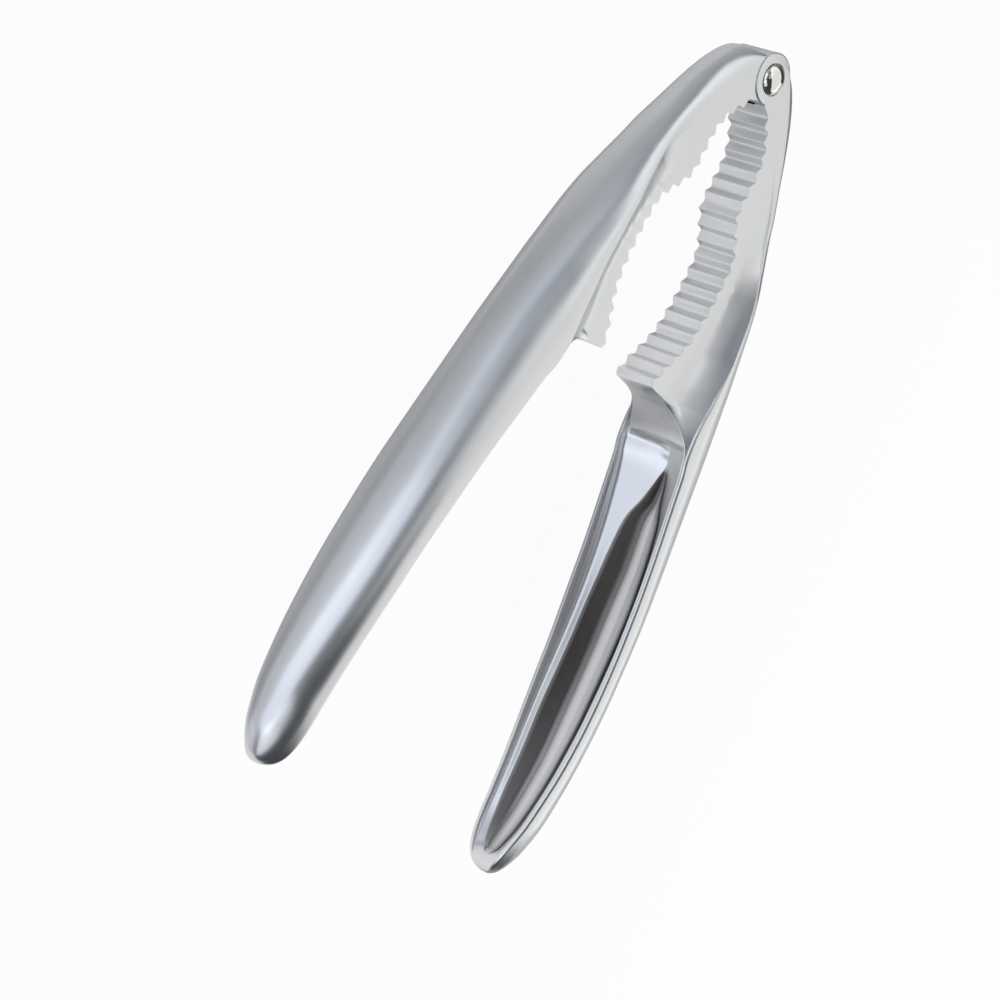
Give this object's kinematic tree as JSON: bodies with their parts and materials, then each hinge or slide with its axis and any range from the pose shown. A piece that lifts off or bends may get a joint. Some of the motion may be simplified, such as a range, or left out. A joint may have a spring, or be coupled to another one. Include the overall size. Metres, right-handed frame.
{
  "type": "lever nutcracker press",
  "caption": "Hand-held lever nutcracker: two satin die-cast levers on one hinge pin, toothed jaws by the hinge, hollowed handles.",
  "frame": {"origin": "middle of the underside of the box round the tool as it lies on its side, opened as in the picture", "axes": "+Z is the hinge axis and up from the table, -Y runs from the hinge to the handle tips, +X to the fork lever"},
  "size_m": [0.1018, 0.1882, 0.0212],
  "materials": {
    "tongue_casting": "satin",
    "fork_casting": "satin",
    "pin": "polished",
    "washers": "matte"
  },
  "bodies": {
    "fork": {"fork_lever": "fork_casting", "hinge_pin": "pin", "rear_cap": "pin", "front_washer": "washers", "rear_washer": "washers"},
    "tongue": {"tongue_lever": "tongue_casting"}
  },
  "joints": [
    {"name": "lever_hinge", "type": "hinge", "parent": "fork", "child": "tongue", "pos_m": [0, 0.08821, 0.0106], "axis": [0, 0, 1], "range_deg": [-19, 16]}
  ]
}
